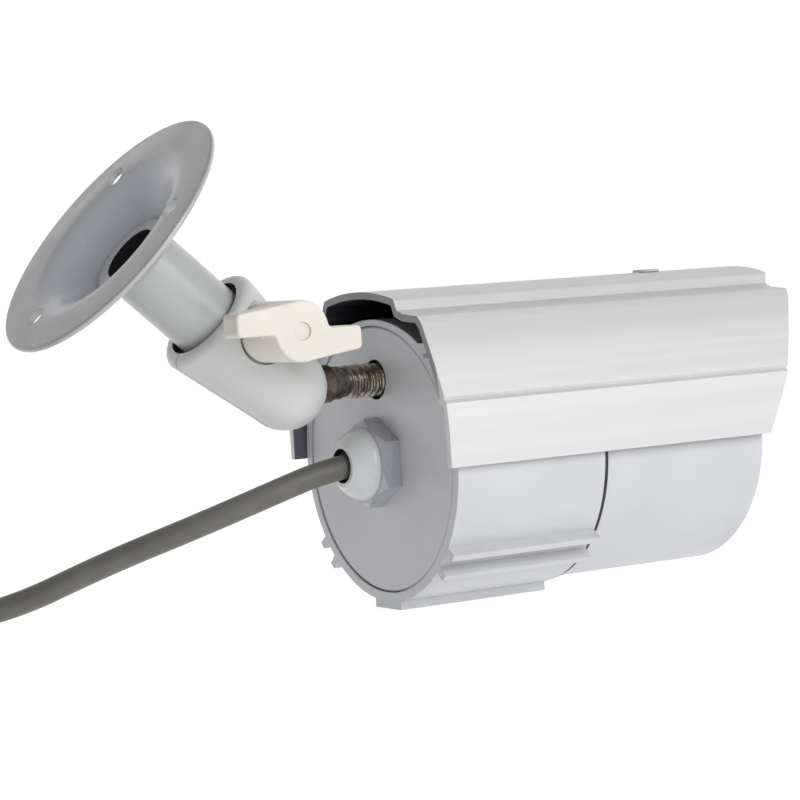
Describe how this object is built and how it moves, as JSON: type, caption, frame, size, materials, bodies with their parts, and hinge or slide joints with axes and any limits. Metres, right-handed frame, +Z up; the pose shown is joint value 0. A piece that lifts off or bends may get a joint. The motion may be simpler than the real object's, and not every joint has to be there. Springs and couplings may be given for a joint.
{
  "type": "bullet security camera",
  "caption": "Bullet security camera with a sliding sunshield, a ball-jointed wall bracket with a wing knob, and a coiled lead with video and power connectors.",
  "frame": {"origin": "Bottom centre of the camera and its bracket, on the surface that the pad under the rear body rests on; the lead is not counted.", "axes": "+X is the way the lens looks, along the axis of the housing. +Z is up, from the pad to the sunshield. +Y is to the left of the camera, away from the wing knob."},
  "size_m": [0.2464, 0.0973, 0.0913],
  "materials": {
    "shield_metal": "satin anodised",
    "body_paint": "satin silver-white",
    "bracket_paint": "satin grey",
    "clamp_paint": "satin off-white",
    "knob_plastic": "moulded, slightly waxy",
    "steel": "plated",
    "brass": "turned",
    "gland_plastic": "smooth moulded",
    "seal_rubber": "matte",
    "cable_jacket": "matte PVC",
    "connector_plastic": "moulded",
    "connector_metal": "nickel plated",
    "window_glass": "clear",
    "board": "solder mask",
    "black_plastic": "matte",
    "lamp_epoxy": "clear tinted epoxy"
  },
  "bodies": {
    "camera": {"board_chips": "black_plastic", "board_connector": "connector_plastic", "board_pillars": "brass", "board_screws": "steel", "body_seal": "seal_rubber", "cable_coil": "cable_jacket", "cable_lead": "cable_jacket", "cable_splitter": "connector_plastic", "cable_tail": "cable_jacket", "cable_tie": "connector_plastic", "cap_seal": "seal_rubber", "front_glass": "window_glass", "front_sleeve": "body_paint", "gland_body": "gland_plastic", "gland_bush": "seal_rubber", "gland_locknut": "gland_plastic", "gland_nut": "gland_plastic", "glass_seal": "seal_rubber", "image_sensor": "lamp_epoxy", "infrared_lamps": "lamp_epoxy", "inner_lead": "cable_jacket", "lamp_board": "black_plastic", "lamp_screws": "steel", "lens_barrel": "black_plastic", "lens_glass": "window_glass", "lens_holder": "black_plastic", "lens_shroud": "black_plastic", "light_sensor": "lamp_epoxy", "main_board": "board", "power_boot": "connector_plastic", "power_lead": "cable_jacket", "power_pin": "connector_metal", "rear_body": "body_paint", "rear_cap": "body_paint", "shield_screw": "steel", "shield_spacer": "body_paint", "spacer_ring": "black_plastic", "video_boot": "connector_plastic", "video_connector": "connector_metal", "video_lead": "cable_jacket", "window_ring": "body_paint"},
    "shield": {"sunshield": "shield_metal"},
    "stud": {"ball_stud": "steel"},
    "clamp": {"clamp_near": "clamp_paint", "clamp_far": "clamp_paint", "clamp_bolt": "steel", "clamp_washer": "steel"},
    "knob": {"wing_knob": "knob_plastic", "knob_insert": "brass"},
    "flange": {"wall_flange": "bracket_paint", "stem_tube": "bracket_paint"}
  },
  "joints": [
    {"name": "shield_slide", "type": "slide", "parent": "camera", "child": "shield", "axis": [1, 0, 0], "range_m": [0, 0.015]},
    {"name": "stud_roll", "type": "hinge", "parent": "camera", "child": "stud", "pos_m": [-0.02674, 0, 0.0426], "axis": [1, 0, 0], "range_deg": [-60, 60]},
    {"name": "tilt", "type": "hinge", "parent": "stud", "child": "clamp", "pos_m": [-0.02674, 0, 0.0426], "axis": [0, 1, 0], "range_deg": [-40, 35]},
    {"name": "stem_swivel", "type": "hinge", "parent": "clamp", "child": "flange", "pos_m": [-0.04921, 0, 0.06248], "axis": [-0.749, 0, 0.6626], "continuous": true},
    {"name": "knob_turn", "type": "hinge", "parent": "clamp", "child": "knob", "pos_m": [-0.03476, -0.015, 0.05316], "axis": [0, 1, 0], "range_deg": [0, 360]}
  ]
}
